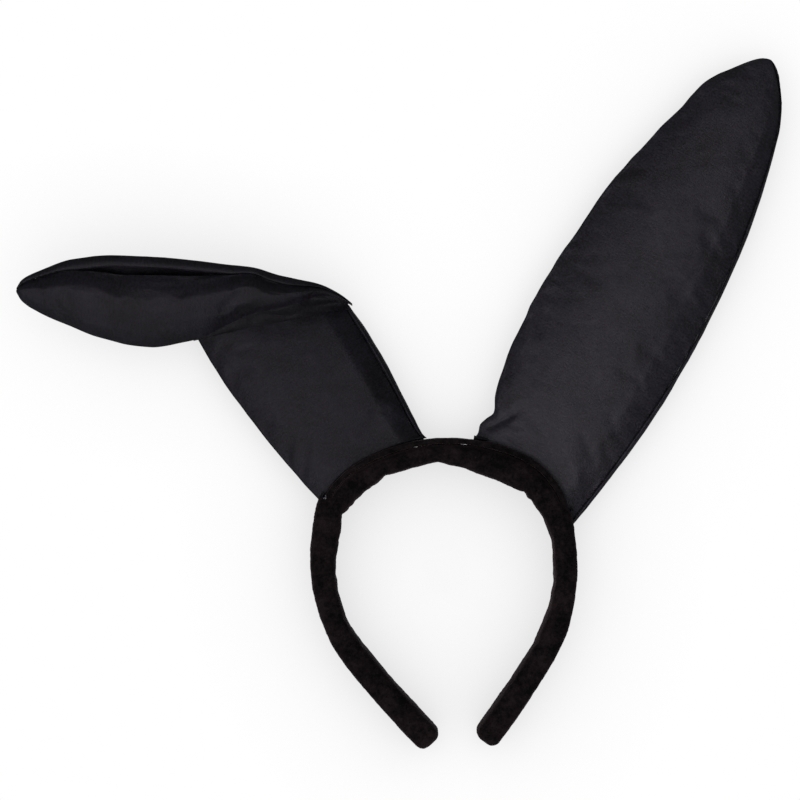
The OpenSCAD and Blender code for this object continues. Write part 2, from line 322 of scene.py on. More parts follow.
def colours(tree, factor, stops):
    ramp = node(tree, "ValToRGB")
    while len(ramp.color_ramp.elements) < len(stops):
        ramp.color_ramp.elements.new(0.5)
    for element, (place, colour) in zip(ramp.color_ramp.elements, stops):
        element.position = place
        element.color = (*colour, 1)
    tree.links.new(factor, ramp.inputs["Fac"])
    return ramp.outputs["Color"]


def span(tree, factor, low, high, from_low=0.0, from_high=1.0):
    made = node(tree, "MapRange")
    for key, value in (("From Min", from_low), ("From Max", from_high), ("To Min", low), ("To Max", high)):
        made.inputs[key].default_value = value
    tree.links.new(factor, made.inputs["Value"])
    return made.outputs["Result"]


def add_bump(tree, shader, layers):
    """Bump layers of (height, strength, distance), each on top of the last."""
    last = None
    for height, strength, distance in layers:
        made = node(tree, "Bump", Strength=strength, Distance=distance)
        tree.links.new(height, made.inputs["Height"])
        if last:
            tree.links.new(last, made.inputs["Normal"])
        last = made.outputs["Normal"]
    tree.links.new(last, shader.inputs["Normal"])


def mixed(tree, kind, a, b):
    made = node(tree, "Math", operation=kind)
    for socket, value in zip(made.inputs, (a, b)):
        if isinstance(value, (int, float)):
            socket.default_value = value
        else:
            tree.links.new(value, socket)
    return made.outputs["Value"]


def weave(tree, vector, period):
    """Crossed threads, period millimetres apart, in the cloth's own coordinates."""
    waves = []
    for direction in ("X", "Y"):
        wave = node(tree, "TexWave", bands_direction=direction, Scale=math.pi / (10 * period),
                    Distortion=0.6, Detail=1.0)
        wave.inputs["Detail Scale"].default_value = 0.6
        tree.links.new(vector, wave.inputs["Vector"])
        waves.append(wave.outputs["Fac"])
    return mixed(tree, "ADD", mixed(tree, "MULTIPLY", waves[0], 0.7), waves[1])


def satin(name="satin_black", dark=(0.0040, 0.0030, 0.0042), light=(0.0230, 0.0210, 0.0290), gloss=0.43):
    """Polyester satin: fine crossed threads, long floats across and a soft cloudy sheen."""
    material, tree, shader = new_material(name)
    cloth = coordinates(tree, "cloth")
    clouds = noise(tree, cloth, 0.045, 4.0, 0.6)
    floats = noise(tree, cloth, 0.55, 3.0, 0.7, (0.5, 1.9, 1.0))
    grain = noise(tree, cloth, 1.0, 4.0, 0.8)
    threads = weave(tree, cloth, 0.55)
    tone = mixed(tree, "ADD", mixed(tree, "MULTIPLY", clouds, 0.25),
                 mixed(tree, "ADD", mixed(tree, "MULTIPLY", floats, 0.25), mixed(tree, "MULTIPLY", grain, 0.5)))
    tree.links.new(colours(tree, tone, [(0.44, dark), (0.56, light)]), shader.inputs["Base Color"])
    tree.links.new(span(tree, grain, 0.30, 0.60, 0.40, 0.60), shader.inputs["Roughness"])
    shader.inputs["Specular IOR Level"].default_value = gloss
    shader.inputs["Specular Tint"].default_value = (0.96, 0.93, 1.0, 1)
    shader.inputs["Sheen Weight"].default_value = 0.05
    shader.inputs["Sheen Roughness"].default_value = 0.35
    shader.inputs["Sheen Tint"].default_value = (0.72, 0.62, 0.85, 1)
    add_bump(tree, shader, [(threads, 0.12, 0.00012), (grain, 0.7, 0.0004), (clouds, 0.25, 0.0012)])
    return material


def velvet(name="velvet_black", dark=(0.0004, 0.0003, 0.0003), light=(0.0300, 0.0190, 0.0205)):
    """Short pile: tufts, brushed patches where the nap lies over, and a faint warm sheen."""
    material, tree, shader = new_material(name)
    place = coordinates(tree, None)
    nap = noise(tree, place, 120.0, 4.0, 0.7)
    tufts = noise(tree, place, 1100.0, 2.0, 0.8)
    pile = noise(tree, place, 430.0, 4.0, 0.85)
    tone = mixed(tree, "ADD", mixed(tree, "MULTIPLY", nap, 0.5),
                 mixed(tree, "ADD", mixed(tree, "MULTIPLY", pile, 0.3), mixed(tree, "MULTIPLY", tufts, 0.2)))
    tree.links.new(colours(tree, tone, [(0.44, dark), (0.72, light)]), shader.inputs["Base Color"])
    tree.links.new(span(tree, nap, 0.78, 1.0), shader.inputs["Roughness"])
    shader.inputs["Specular IOR Level"].default_value = 0.12
    shader.inputs["Sheen Weight"].default_value = 0.12
    shader.inputs["Sheen Roughness"].default_value = 0.45
    shader.inputs["Sheen Tint"].default_value = (0.62, 0.44, 0.46, 1)
    add_bump(tree, shader, [(pile, 0.6, 0.0006), (tufts, 0.5, 0.0003)])
    return material


def plain_fibre(name, dark, light, scale, roughness, sheen):
    """Foam, wadding or thread: a mottled matt fibre."""
    material, tree, shader = new_material(name)
    place = coordinates(tree, None)
    coarse = noise(tree, place, scale, 4.0, 0.7)
    fine = noise(tree, place, scale * 5, 2.0, 0.7)
    tree.links.new(colours(tree, mixed(tree, "ADD", mixed(tree, "MULTIPLY", coarse, 0.6),
                                       mixed(tree, "MULTIPLY", fine, 0.4)), [(0.3, dark), (0.7, light)]),
                   shader.inputs["Base Color"])
    shader.inputs["Roughness"].default_value = roughness
    shader.inputs["Specular IOR Level"].default_value = 0.1
    shader.inputs["Sheen Weight"].default_value = sheen
    add_bump(tree, shader, [(coarse, 0.5, 0.0008), (fine, 0.5, 0.0003)])
    return material


def moulded_plastic():
    material, tree, shader = new_material("core_black_plastic")
    place = coordinates(tree, None)
    orange_peel = noise(tree, place, 900.0, 2.0, 0.5)
    tree.links.new(colours(tree, orange_peel, [(0.3, (0.016, 0.016, 0.017)), (0.7, (0.028, 0.028, 0.03))]),
                   shader.inputs["Base Color"])
    tree.links.new(span(tree, orange_peel, 0.42, 0.58), shader.inputs["Roughness"])
    add_bump(tree, shader, [(orange_peel, 0.15, 0.0002)])
    return material


def drawn_wire():
    material, tree, shader = new_material("wire_steel")
    place = coordinates(tree, None)
    scratches = noise(tree, place, 700.0, 3.0, 0.6)
    tree.links.new(colours(tree, scratches, [(0.3, (0.42, 0.42, 0.44)), (0.7, (0.62, 0.62, 0.64))]),
                   shader.inputs["Base Color"])
    shader.inputs["Metallic"].default_value = 1.0
    tree.links.new(span(tree, scratches, 0.25, 0.4), shader.inputs["Roughness"])
    add_bump(tree, shader, [(scratches, 0.2, 0.0001)])
    return material


# Darker, duller copies of the satin are painted shade: one for the folded ear and its leaf, which take less
# light, and a darker one, deeper painted shade, for the pleat tucked under the leaf and for the hem.
SATIN = satin()
SATIN_SHADED = satin("satin_black_shaded", (0.0032, 0.0024, 0.0034), (0.0150, 0.0136, 0.0190), 0.25)
SATIN_DEEP_SHADE = satin("satin_black_deep_shade", (0.0028, 0.0022, 0.0030), (0.0090, 0.0080, 0.0110), 0.22)
VELVET = velvet()
RIBBON = velvet("velvet_ribbon", (0.0008, 0.0006, 0.0006), (0.0300, 0.0210, 0.0225))
FOAM = plain_fibre("foam_grey", (0.05, 0.05, 0.05), (0.14, 0.14, 0.14), 420.0, 0.95, 0.0)
WADDING = plain_fibre("wadding_white", (0.55, 0.55, 0.53), (0.86, 0.86, 0.84), 160.0, 0.9, 0.4)
THREAD = plain_fibre("thread_black", (0.003, 0.003, 0.003), (0.014, 0.013, 0.015), 900.0, 0.7, 0.0)
LINT = plain_fibre("thread_pale", (0.16, 0.16, 0.19), (0.42, 0.42, 0.46), 900.0, 0.6, 0.2)
PLASTIC = moulded_plastic()
STEEL = drawn_wire()


def dress(obj, material):
    obj.data.materials.clear()
    obj.data.materials.append(material)
    return obj


# ---------------------------------------------------------------- the headband's centreline

CROWN_Z = 60.4
ARC_RADIUS = (85.0, 38.0, 85.0, 488.0)
ARC_START = (0.0, 27.0, 72.0, 125.0)
ARM_END = 130.7
BAND_T = 12.6
BAND_D = 24.0
STRIP_T = 3.0


def arc_centres():
    centres = [np.array([0.0, CROWN_Z - ARC_RADIUS[0]])]
    for i in range(1, 4):
        turn = math.radians(ARC_START[i])
        step = np.array([math.sin(turn), math.cos(turn)])
        centres.append(centres[-1] + (ARC_RADIUS[i - 1] - ARC_RADIUS[i]) * step)
    return centres


CENTRES = arc_centres()


def beside(turn, out, on=0.0):
    """X and Z beside the right half of the centreline, at a turn from the crown in degrees."""
    i = sum(turn >= start for start in ARC_START[1:])
    a = math.radians(turn)
    return (CENTRES[i] + (ARC_RADIUS[i] + out) * np.array([math.sin(a), math.cos(a)])
            + on * np.array([math.cos(a), -math.sin(a)]))


def line_turns(start, end, step):
    """Turns from start to end that are about step millimetres apart along the centreline."""
    turns = [start]
    while turns[-1] < end:
        i = sum(turns[-1] >= s for s in ARC_START[1:])
        turns.append(turns[-1] + math.degrees(step / ARC_RADIUS[i]))
    turns[-1] = end
    return np.array(turns)


# ---------------------------------------------------------------- velvet covers

COVER_SIDES = 72
COVER_STEP = 1.1
STRIP_ENDS = {1: 76.0, -1: 60.0}
# Turn and distance from the centreline to the velvet's inner and outer face, right (1) and left (-1).
INSIDE = {1: ((0, 5.7), (4, 7.2), (12, 9.4), (20, 11.0), (30, 11.3), (40, 10.7), (48, 9.5), (58, 9.7),
              (70, 8.7), (76, 7.5), (86, 6.3), (96, 6.0), (131, 6.0)),
          -1: ((0, 5.7), (8, 6.7), (14, 7.1), (20, 6.6), (25, 7.9), (48, 8.0), (56, 7.5), (64, 6.2), (70, 6.3),
               (76, 7.4), (81, 7.1), (86, 6.1), (100, 6.0), (112, 6.3), (120, 7.8), (126, 8.0), (131, 7.6))}
OUTSIDE = {1: ((76, 6.7), (84, 5.8), (104, 5.8), (116, 6.6), (128, 7.1)),
           -1: ((58, 8.4), (64, 8.4), (76, 7.2), (90, 6.7), (110, 6.3), (130, 5.9))}
# The velvet's inner face stays this far from the centreline, clear of the foam.
FOAM_ROOM = 5.45
END_ROUND = 5.2
END_RINGS = (0.0, 0.8, 1.7, 2.6, 3.4, 4.1, 4.6, 4.95, 5.15)
# Turns where the velvet is drawn in most.
KINKS = {1: (50.0, 84.0), -1: (20.0, 65.0)}


def profile(knots, turn):
    """A straight-sided profile, as velvet pulled round the inside of a curve has."""
    return np.interp(turn, *np.array(knots).T)


def cover_ring(turn, side, on):
    """One ring of a velvet cover at a turn; side is 1 on the right and -1 on the left."""
    angle = np.linspace(0, 2 * math.pi, COVER_SIDES, endpoint=False)
    corner = 0.42
    cx, cy = np.cos(angle), np.sin(angle)
    out = np.sign(cx) * np.abs(cx) ** corner
    deep = np.sign(cy) * np.abs(cy) ** (corner * 0.9)
    under = 1 - smooth(turn, STRIP_ENDS[side] - 5.0, STRIP_ENDS[side] + 0.5)
    outer = (BAND_T / 2 - STRIP_T - 0.1) * under + profile(OUTSIDE[side], turn) * (1 - under)
    inner = profile(INSIDE[side], turn)
    close = math.sqrt(max(0.0, 1 - min(1.0, on / END_ROUND) ** 2.4))
    middle = (outer - inner) / 2
    radial = middle + out * (outer + inner) / 2 * (0.25 + 0.75 * close)
    depth = deep * (BAND_D / 2 + 0.2) * (0.45 + 0.55 * close)
    xz = np.array([beside(turn, r, on) for r in radial])
    return np.stack([side * xz[:, 0], depth, xz[:, 1]], axis=1)


def gathers(turns, grid, side):
    """Creases across the band where the velvet is drawn round the curve, deepest inside."""
    rng = np.random.default_rng(11 + side)
    angle = np.linspace(0, 2 * math.pi, COVER_SIDES, endpoint=False)
    inside = 0.3 + 0.7 * np.clip(-np.cos(angle), 0, 1)
    total = np.zeros((len(turns), COVER_SIDES))
    small = [(place + rng.uniform(-4.0, 4.0), rng.uniform(0.15, 0.5)) for place in np.arange(12.0, 128.0, 11.0)]
    for place, depth in small + [(kink, 0.7) for kink in KINKS[side]]:
        width = rng.uniform(1.6, 3.2)
        lean = rng.uniform(-2.5, 2.5) * np.sin(angle)
        total -= depth * bump(turns[:, None], place + lean[None, :], width) * inside
    swell = 0.5 * lattice_noise(grid, 17.0, 21 + side) * (0.4 + 0.6 * inside)[None]
    fine = 0.14 * lattice_noise(grid, 5.0, 31 + side)
    fuzz = 0.16 * lattice_noise(grid, 1.3, 41 + side) + 0.10 * lattice_noise(grid, 0.8, 51 + side)
    lift = total + swell + fine
    room = profile(INSIDE[side], turns)[:, None] - FOAM_ROOM
    return np.where(np.cos(angle) < 0, np.maximum(lift, -room), lift) + fuzz


def make_cover(name, side):
    """The velvet cover of one half of the band."""
    turns = line_turns(0.0, ARM_END, COVER_STEP)
    rings = [cover_ring(t, side, 0.0) for t in turns] + [cover_ring(ARM_END, side, on) for on in END_RINGS[1:]]
    all_turns = np.concatenate([turns, ARM_END + np.array(END_RINGS[1:]) * 0.1])
    grid = np.array(rings)
    normals = grid_normals(grid) * -side
    fade = smooth(all_turns, 0.0, 4.0)[:, None]
    shared = 0.16 * lattice_noise(grid * np.array([0.0, 1, 1]), 1.3, 61)
    grid = grid + normals * (gathers(all_turns, grid, side) * fade + shared * (1 - fade))[:, :, None]
    normals = grid_normals(grid) * -side
    normals[0, :, 0] = 0
    if side == 1:
        grid, normals = grid[:, ::-1], normals[:, ::-1]
    cover = skin(name, grid, cap_last=True, normals=normals)
    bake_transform(cover)
    return dress(cover, VELVET)


cover_right = make_cover("velvet_cover_right", 1)
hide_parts("velvet_crown", "velvet_arm_right", "end_cap_right")
cover_left = make_cover("velvet_cover_left", -1)
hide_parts("velvet_arm_left", "end_cap_left")


def make_ribbon():
    """The strip along the crown that the ears are sewn to, with turned-over ends."""
    left_end, right_end = STRIP_ENDS[-1] - 1.5, STRIP_ENDS[1] - 1.5
    turns = np.concatenate([-line_turns(0, left_end, 1.2)[::-1], line_turns(0, right_end, 1.2)[1:]])
    angle = np.linspace(0, 2 * math.pi, 40, endpoint=False)
    cx, cy = np.cos(angle), np.sin(angle)
    out = np.sign(cx) * np.abs(cx) ** 0.5
    deep = np.sign(cy) * np.abs(cy) ** 0.3
    ends = np.minimum(smooth(turns, -59.5, -55.0), 1 - smooth(turns, 71.0, 75.5))
    rings = []
    for turn, end in zip(turns, ends):
        thick = STRIP_T * (0.75 + 0.25 * end)
        middle = BAND_T / 2 - STRIP_T + thick / 2
        xz = np.array([beside(abs(turn), middle + o * thick / 2) for o in out])
        xz[:, 0] *= -1 if turn < 0 else 1
        rings.append(np.stack([xz[:, 0], deep * (19.6 / 2) * (0.9 + 0.1 * end), xz[:, 1]], axis=1))
    grid = np.array(rings)
    rough = 0.18 * lattice_noise(grid, 5.0, 71) + 0.12 * lattice_noise(grid, 1.2, 72)
    grid = (grid - grid_normals(grid) * rough[:, :, None])[:, ::-1]
    ribbon = skin("ear_ribbon", grid, cap_first=True, cap_last=True)
    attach(ribbon, "crown")
    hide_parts("ear_strip")
    return dress(ribbon, RIBBON)


make_ribbon()


# ---------------------------------------------------------------- ears: shared shape

EAR_LEN = 247.0
EAR_HALF = 42.0
SIDE_R = 444.0
WIDEST_AT = 89.0
ROUND_FROM = 0.88 * EAR_LEN
PUFF = 8.0


def half_width(s):
    s = np.asarray(s, float)
    q = np.clip((s - ROUND_FROM) / (EAR_LEN - ROUND_FROM), 0, 1)
    return (EAR_HALF - SIDE_R + np.sqrt(SIDE_R ** 2 - (s - WIDEST_AT) ** 2)) * np.sqrt(1 - q * q)


def fullness(s):
    """Half thickness along an ear: flat where it is sewn down, full in the middle."""
    s = np.asarray(s, float)
    q = np.clip((s - 0.66 * EAR_LEN) / (0.34 * EAR_LEN), 0, 1)
    return PUFF * (0.56 + 0.44 * smooth(s, 0, 70)) * np.sqrt(1 - 0.97 * q ** 2.2)


class Ear:
    """An ear's own frame: u across to the right, s along its axis and y front to back."""

    def __init__(self, foot, lean, share):
        self.foot = np.array(foot, float)
        self.share = share
        a = math.radians(lean)
        self.along = np.array([math.sin(a), 0, math.cos(a)])
        self.across = np.array([math.cos(a), 0, -math.sin(a)])
        self.base = np.array([self.foot[0], 0, self.foot[1]])

    def place(self, u, s, y):
        u, s, y = (np.asarray(v, float)[..., None] for v in (u, s, y))
        return self.base + u * self.across + s * self.along + y * np.array([0.0, 1.0, 0.0])


RIGHT = Ear((44.0, 43.6), 34.2, 1.0)
LEFT = Ear((-35.25, 54.0), -28.8, 0.918)
RING = 136
FRONT, SLIT, LIP = 60, 6, 18
SEAM = FRONT + SLIT


def shoulder(distance, reach, power):
    """Rise of a padded panel from its seam, from 0 at the seam to 1 at reach and beyond."""
    return 1 - np.clip(1 - distance / reach, 0, 1) ** power


def ear_section(half, lip, full, valley, slit, gentle=0.75, steep=0.32, roll=0.0):
    """Rings of (u, y) across an ear: front panel, seam slit, lip and back panel.

    Each of the first arguments has one value per station. The ring starts at the left edge.
    gentle and steep are the reach of the front panel's shoulders, as shares of the half width.
    A lip with roll 0 is a round piping, and one with roll 1 is the back panel folded over."""
    half, lip, full, valley, slit = (np.asarray(v, float)[:, None] for v in (half, lip, full, valley, slit))
    t = np.linspace(0, 1, FRONT)[None]
    g = 0.30 * t + 0.70 * (1 - np.cos(math.pi * t)) / 2
    wide = 2 * half - lip - slit
    front_u = -half + wide * g
    rise = shoulder(wide * g, gentle * half, 2.4) ** 0.8 * shoulder(wide * (1 - g), steep * half, 1.45)
    front_y = -full * rise - valley * g ** 14
    t = np.linspace(0, 1, SLIT)[None]
    slit_u = half - lip - slit * (1 - t)
    slit_y = -valley + (1.3 + 2.3 * slit) * np.sin(math.pi * (0.1 + 0.8 * t)) ** 0.5
    t = np.linspace(0, 1, LIP)[None]
    lip_u = half - lip * (1 - t ** 1.15)
    piping = -valley * (1 - t) - (valley * 0.4 + lip * 0.42) * np.sin(math.pi * t ** 0.85) ** 0.75
    folded = -(valley + 0.34 * lip) * np.cos(math.pi / 2 * t) ** 0.7
    lip_y = piping + (folded - piping) * roll
    back = RING - FRONT - SLIT - LIP
    t = np.linspace(0, 1, back + 2)[None, 1:-1]
    g = 0.30 * t + 0.70 * (1 - np.cos(math.pi * t)) / 2
    x = 1 - 2 * g
    back_u = half * x
    back_y = full * 0.98 * np.maximum(0, 1 - np.abs(x) ** 2.3) ** 0.52
    u = np.concatenate([front_u, slit_u, lip_u, back_u + 0 * half], axis=1)
    y = np.concatenate([front_y, slit_y, lip_y, back_y], axis=1)
    return u, y


def padding_section(half, lip, full, inset):
    """Rings of (u, y) for the wadding, which stays inside the section above."""
    half, lip, full = (np.asarray(v, float)[:, None] for v in (half, lip, full))
    a = np.linspace(0, 2 * math.pi, 48, endpoint=False)[None]
    wide = np.maximum(half - lip / 2 - inset, 0.3)
    y = -np.sign(np.sin(a)) * np.abs(np.sin(a)) ** 1.2 * full * 0.78
    return -lip / 2 - wide * np.cos(a), y


def curve(x, knots):
    """A smooth line through a few (x, y) knots, with no overshoot."""
    kx, ky = np.array(knots, float).T
    slope = np.diff(ky) / np.diff(kx)
    before, after = slope[:-1], slope[1:]
    total = np.where(before + after == 0, 1, before + after)
    inner = np.where(before * after > 0, 2 * before * after / total, 0)
    m = np.concatenate([[slope[0]], inner, [slope[-1]]])
    x = np.clip(np.asarray(x, float), kx[0], kx[-1])
    i = np.clip(np.searchsorted(kx, x, side="right") - 1, 0, len(kx) - 2)
    h = kx[i + 1] - kx[i]
    t = (x - kx[i]) / h
    return ((1 + 2 * t) * (1 - t) ** 2 * ky[i] + t * (1 - t) ** 2 * h * m[i]
            + t * t * (3 - 2 * t) * ky[i + 1] + t * t * (t - 1) * h * m[i + 1])


def band_edge(ear, u):
    """Distance along an ear's axis where its cover meets the ribbon, for each u across it."""
    found = []
    for value in np.atleast_1d(u):
        best = None
        for turn in np.arange(0.0, 84.0, 0.5):
            xz = beside(turn, BAND_T / 2 - 0.6)
            point = np.array([math.copysign(xz[0], ear.foot[0]), 0, xz[1]]) - ear.base
            miss = abs(point @ ear.across - value)
            if best is None or miss < best[0]:
                best = (miss, point @ ear.along)
        found.append(best[1])
    return np.array(found)


def cloth_map(u, s, y):
    """Where each point is on the cut cloth, in millimetres, which carries the weave."""
    return np.stack([u, s, np.where(y > 0, 40.0, 0.0) + 0 * u], axis=-1)


def ripples(grid, seed, soft, fine):
    """Soft swells and fine creases of padded satin."""
    swell = soft * (lattice_noise(grid, 34.0, seed) + 0.5 * lattice_noise(grid, 15.0, seed + 1))
    crease = fine * (1 - 2 * np.abs(lattice_noise(grid, 9.0, seed + 2)))
    return swell + crease


def seam_puckers(s, edge, seed, depth):
    """Small tucks square to a seam; edge is 1 at the seam and 0 in the middle."""
    rng = np.random.default_rng(seed)
    total = np.zeros_like(s)
    place = 8.0
    while place < EAR_LEN:
        total -= rng.uniform(0.3, 1.0) * bump(s, place, rng.uniform(1.4, 3.2))
        place += rng.uniform(6.0, 13.0)
    near = np.clip(edge, 0, 1)
    return depth * total * 2 * near ** 5 * (1 - near ** 14)


# ---------------------------------------------------------------- cloth simulation

ROW_SKIP, RING_SKIP = 2, 2
SETTLE_FRAMES = 20


def resampled(values, places, closed):
    """Catmull-Rom values at fractional places along the first axis."""
    count = len(values)
    i = np.floor(places).astype(int)
    t = (places - i).reshape((-1,) + (1,) * (values.ndim - 1))
    near = [(i + k) % count if closed else np.clip(i + k, 0, count - 1) for k in (-1, 0, 1, 2)]
    a, b, c, d = (values[index] for index in near)
    return b + 0.5 * t * (c - a + t * (2 * a - 5 * b + 4 * c - d + t * (3 * (b - c) + d - a)))


def settled(name, grid, free, growth, pressure, cap):
    """Lets a skin of satin swell and pucker between its seams, and says how far each point moved.

    free is 0 where the cloth is sewn down and 1 elsewhere; growth is how much longer the cloth
    is cut than its seams; cap is the furthest that a point may move, in millimetres."""
    rows = np.unique(np.append(np.arange(0, len(grid), ROW_SKIP), len(grid) - 1))
    coarse = grid[rows][:, ::RING_SKIP]
    obj = link_mesh(name, coarse.reshape(-1, 3), tube_faces(len(rows), coarse.shape[1], True, True))
    group = obj.vertex_groups.new(name="sewn")
    held = 1 - free[rows][:, ::RING_SKIP].ravel()
    for index, weight in enumerate(held):
        group.add([index], float(weight), "REPLACE")
    cloth = obj.modifiers.new("cloth", "CLOTH")
    cloth.settings.quality = 6
    cloth.settings.mass = 0.12
    cloth.settings.tension_stiffness = 12.0
    cloth.settings.compression_stiffness = 12.0
    cloth.settings.shear_stiffness = 4.0
    cloth.settings.bending_stiffness = 1.5
    cloth.settings.air_damping = 2.0
    cloth.settings.use_pressure = True
    cloth.settings.uniform_pressure_force = pressure
    cloth.settings.shrink_min = -growth
    cloth.settings.vertex_group_mass = "sewn"
    cloth.settings.effector_weights.gravity = 0.0
    cloth.collision_settings.use_collision = False
    cloth.point_cache.frame_end = SETTLE_FRAMES
    scene = bpy.context.scene
    for frame_number in range(1, SETTLE_FRAMES + 1):
        scene.frame_set(frame_number)
    shaped = obj.evaluated_get(bpy.context.evaluated_depsgraph_get())
    points = np.empty(coarse.size, np.float32)
    shaped.data.vertices.foreach_get("co", points)
    scene.frame_set(1)
    move = points.reshape(coarse.shape).astype(float) / MM - coarse
    length = np.linalg.norm(move, axis=2, keepdims=True)
    move *= np.minimum(1, cap / np.maximum(length, 1e-9))
    bpy.data.objects.remove(obj)
    row_places = np.interp(np.arange(len(grid)), rows, np.arange(len(rows)))
    move = resampled(move, row_places, False)
    move = resampled(move.transpose(1, 0, 2), np.arange(RING) / RING_SKIP, True).transpose(1, 0, 2)
    return move * free[:, :, None]


def sewn_ring():
    """0 at the left seam and over the right seam and its lip, 1 elsewhere round a section."""
    free = np.ones(RING)
    free[FRONT - 2:SEAM + LIP + 2] = 0
    free[:2] = 0
    free[-2:] = 0
    return free[None]


# ---------------------------------------------------------------- the straight ear

ROW_STEP = 1.5
BASE_ROWS_END = 46.0
# Distance up the right ear and how far its left edge is drawn in there.
INNER_NOTCH = ((0, -0.4), (2.5, -0.3), (8, 1.2), (11, 0.6), (15.8, 2.7), (20.5, 5.6), (28.5, 3.4),
               (44, 1.7), (62, 0.2), (75, 0))


def straight_ear_rows():
    round_rows = ROUND_FROM + (EAR_LEN - ROUND_FROM) * np.sin(np.linspace(0, math.pi / 2, 34)[:-1])
    return np.concatenate([np.arange(0.0, ROUND_FROM, ROW_STEP), round_rows])


def straight_lip(s):
    """Width of the back panel's lip beside the right seam."""
    return np.minimum(curve(s, ((0, 1.4), (20, 2.1), (110, 2.2), (190, 1.4), (247, 0.7))), 0.4 * half_width(s))


def straight_foot(u, rows):
    """Draws the lowest rows down to the ribbon."""
    across = np.linspace(-36, 36, 25)
    foot = np.interp(u, across, band_edge(RIGHT, across))
    return rows[:, None] + foot * np.clip(1 - rows[:, None] / 60.0, 0, 1) ** 1.6


def straight_ear_grid():
    """The right ear's cover: its section swept up the ear, settled as cloth, then creased."""
    rows = straight_ear_rows()
    half = half_width(rows)
    valley = 1.5 * smooth(rows, 0, 30) * (1 - 0.8 * smooth(rows, 190, 247)) + 0.1
    u, y = ear_section(half, straight_lip(rows), fullness(rows), valley, 0.3 + 0 * rows, 0.9, 0.32)
    side = u / np.maximum(half[:, None], 1e-6)
    s = straight_foot(u, rows)
    left = np.clip(-side, 0, 1)
    u = u + left ** 2.4 * curve(s, INNER_NOTCH)
    line = np.stack([s, 0 * s, 0 * s], -1)
    u = u + left ** 6 * (0.8 * lattice_noise(line, 17.0, 5) + 0.22 * lattice_noise(line, 7.0, 6))
    grid = RIGHT.place(u, s, y)
    free = smooth(rows, 4, 16)[:, None] * (1 - smooth(rows, 236, 245)[:, None]) * sewn_ring()
    grid = grid + settled("straight_ear_cloth", grid, free, 0.0018, 2.0, 3.0)
    normals = grid_normals(grid)
    hold = smooth(rows, 0, 12)[:, None]
    lift = ripples(grid, 100, 0.34, 0.10) + seam_puckers(s, np.abs(side), 3, 0.45)
    tuck = np.hypot((u + 25 - 0.55 * (s - 19)) * 0.9, (s - 19) * 0.28)
    lift = lift - 1.5 * np.exp(-(tuck / 2.2) ** 2) * (y < 0)
    small_tuck = np.hypot((s - 13.5) * 0.9, (u + 14) * 0.3)
    lift = lift - 0.9 * np.exp(-(small_tuck / 1.8) ** 2) * (y < 0)
    fold = (u - 20) * 0.62 + (s - 14) * 0.78
    lift = lift + 0.55 * bump(fold, 0, 3.6) * (y < 0) * bump(u, 20, 15)
    grid = grid + normals * (lift * hold)[:, :, None]
    return rows, grid, cloth_map(u, s, y)


def skin_bend(piece):
    """Bakes a piece's placing into its mesh."""
    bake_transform(piece)


FLAT = np.array([1.0, 0.0, 1.0])


def make_straight_ear():
    """The right ear's cover in two pieces, split across the ear, and its stitching."""
    rows, grid, cloth = straight_ear_grid()
    normals = grid_normals(grid)
    cut = int(np.searchsorted(rows, BASE_ROWS_END))
    below, above = slice(0, cut + 1), slice(cut, None)
    base = skin("right_ear_cover_base", grid[below], cloth[below], cap_first=True, normals=normals[below])
    tip = skin("right_ear_cover", grid[above], cloth[above], cap_last=True, normals=normals[above])
    skin_bend(base)
    bend = hinge("right_ear_bend")[0] * FLAT
    skin_bend(tip)
    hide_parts("right_base_front", "right_base_back")
    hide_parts("right_tip_front", "right_tip_back")
    for piece in (base, tip):
        dress(piece, SATIN)
    thread = tube("right_seam_thread", seam_line(grid, rows, 30.0, 243.0), 0.22, 6)
    skin_bend(thread)
    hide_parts("right_base_seam", "right_tip_seam")
    dress(thread, THREAD)
    return bend


def seam_line(grid, rows, start, end):
    """The stitching in the valley beside the right lip: in and out of the cloth."""
    keep = (rows >= start) & (rows <= end)
    line = grid[keep, SEAM]
    dense = resampled(line, np.linspace(0, len(line) - 1, 4 * len(line)), False)
    way = np.gradient(dense, axis=0)
    distance = np.cumsum(np.linalg.norm(way, axis=1))
    dense[:, 1] -= 0.15 + 0.32 * np.sin(distance * 2 * math.pi / 3.2)
    return dense


def make_padding(name, ear, start, end, body, node_name):
    """Wadding between two distances along an ear, rounded off at both ends."""
    t = (1 - np.cos(np.linspace(0, math.pi, 60))) / 2
    s = start + (end - start) * t
    taper = np.sqrt(np.clip(1 - (2 * t - 1) ** 8, 0.0004, 1))
    half = half_width(s) * ear.share
    u, y = padding_section(half * (0.3 + 0.7 * taper), straight_lip(s), fullness(s) * taper, 6.0)
    grid = ear.place(u, s[:, None] + 0 * u, y)
    grid = grid + grid_normals(grid) * 0.35 * (lattice_noise(grid, 4.0, 201) - 0.6)[:, :, None]
    return finish_padding(name, grid, body, node_name)


def finish_padding(name, grid, body, node_name):
    padding = skin(name, grid, cap_first=True, cap_last=True)
    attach(padding, body)
    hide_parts(node_name)
    return dress(padding, WADDING)


def edge_line(ear, side, inset, start, end, count=60):
    """A line inside an ear's rim on one side, 1 on the right and -1 on the left."""
    s = np.linspace(start, end, count)
    return ear.place(side * (half_width(s) * ear.share - inset), s, 0 * s)


WIRE_R = 0.7


